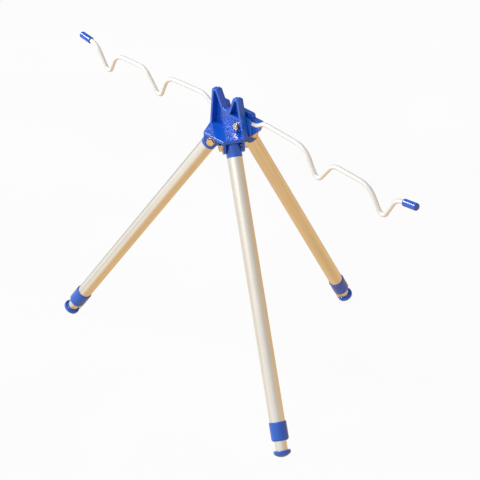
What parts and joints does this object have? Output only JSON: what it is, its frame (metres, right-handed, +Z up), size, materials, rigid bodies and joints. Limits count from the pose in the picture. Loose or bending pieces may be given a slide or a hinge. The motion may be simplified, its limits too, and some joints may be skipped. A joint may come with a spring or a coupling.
{
  "type": "fishing rod rest tripod",
  "caption": "Free-standing fishing-rod rest: a forked plastic head on three hinged telescopic legs, with a wavy wire bar clamped across its back to hold more rods.",
  "frame": {"origin": "on the floor, under the centre of the whole object's box", "axes": "+X along the wire rest bar, +Y towards the back leg, +Z up"},
  "size_m": [0.7148, 0.3954, 0.4497],
  "materials": {
    "blue_plastic": "gloss, moulded, faint texture",
    "blue_cap": "gloss, slightly soft vinyl",
    "white_coating": "smooth white dipped coating",
    "aluminium_tube": "satin, drawn",
    "black_nylon": "matt",
    "zinc_hardware": "yellow-passivated zinc plate, bright"
  },
  "bodies": {
    "head": {"head_body": "blue_plastic", "clamp_jaw": "blue_plastic", "wire_bar": "white_coating", "end_cap_left": "blue_cap", "end_cap_right": "blue_cap", "clamp_bolt": "zinc_hardware", "clamp_washer": "zinc_hardware", "clamp_nut": "zinc_hardware", "pivot_bolt_left": "zinc_hardware", "pivot_washers_left": "zinc_hardware", "pivot_nut_left": "zinc_hardware", "pivot_bolt_right": "zinc_hardware", "pivot_washers_right": "zinc_hardware", "pivot_nut_right": "zinc_hardware", "pivot_bolt_back": "zinc_hardware", "pivot_washers_back": "zinc_hardware", "pivot_nut_back": "zinc_hardware"},
    "leg_left": {"leg_head_left": "blue_plastic", "outer_tube_left": "aluminium_tube", "end_bush_left": "black_nylon"},
    "collar_left": {"lock_collar_left": "blue_plastic"},
    "extension_left": {"inner_tube_left": "aluminium_tube", "inner_guide_left": "black_nylon", "foot_left": "blue_plastic", "stop_screw_left": "zinc_hardware"},
    "leg_right": {"leg_head_right": "blue_plastic", "outer_tube_right": "aluminium_tube", "end_bush_right": "black_nylon"},
    "collar_right": {"lock_collar_right": "blue_plastic"},
    "extension_right": {"inner_tube_right": "aluminium_tube", "inner_guide_right": "black_nylon", "foot_right": "blue_plastic", "stop_screw_right": "zinc_hardware"},
    "leg_back": {"leg_head_back": "blue_plastic", "outer_tube_back": "aluminium_tube", "end_bush_back": "black_nylon"},
    "collar_back": {"lock_collar_back": "blue_plastic"},
    "extension_back": {"inner_tube_back": "aluminium_tube", "inner_guide_back": "black_nylon", "foot_back": "blue_plastic", "stop_screw_back": "zinc_hardware"}
  },
  "joints": [
    {"name": "leg_fold_left", "type": "hinge", "parent": "head", "child": "leg_left", "pos_m": [-0.02, -0.09385, 0.37472], "axis": [0.5, -0.8608, -0.0947], "range_deg": [0, 36.5]},
    {"name": "collar_lock_left", "type": "hinge", "parent": "leg_left", "child": "collar_left", "pos_m": [-0.2243, -0.17622, 0.04492], "axis": [-0.5151, -0.2077, -0.8316], "range_deg": [0, 90]},
    {"name": "leg_extend_left", "type": "slide", "parent": "leg_left", "child": "extension_left", "axis": [-0.5151, -0.2077, -0.8316], "range_m": [0, 0.28]},
    {"name": "leg_fold_right", "type": "hinge", "parent": "head", "child": "leg_right", "pos_m": [0.02, -0.09385, 0.37472], "axis": [0.5, 0.8608, 0.0947], "range_deg": [0, 36.5]},
    {"name": "collar_lock_right", "type": "hinge", "parent": "leg_right", "child": "collar_right", "pos_m": [0.2243, -0.17622, 0.04492], "axis": [0.5151, -0.2077, -0.8316], "range_deg": [0, 90]},
    {"name": "leg_extend_right", "type": "slide", "parent": "leg_right", "child": "extension_right", "axis": [0.5151, -0.2077, -0.8316], "range_m": [0, 0.28]},
    {"name": "leg_fold_back", "type": "hinge", "parent": "head", "child": "leg_back", "pos_m": [0, -0.05062, 0.37948], "axis": [-1, 0, 0], "range_deg": [0, 26.3]},
    {"name": "collar_lock_back", "type": "hinge", "parent": "leg_back", "child": "collar_back", "pos_m": [0, 0.16295, 0.04529], "axis": [0, 0.5385, -0.8426], "range_deg": [0, 90]},
    {"name": "leg_extend_back", "type": "slide", "parent": "leg_back", "child": "extension_back", "axis": [0, 0.5385, -0.8426], "range_m": [0, 0.28]}
  ]
}
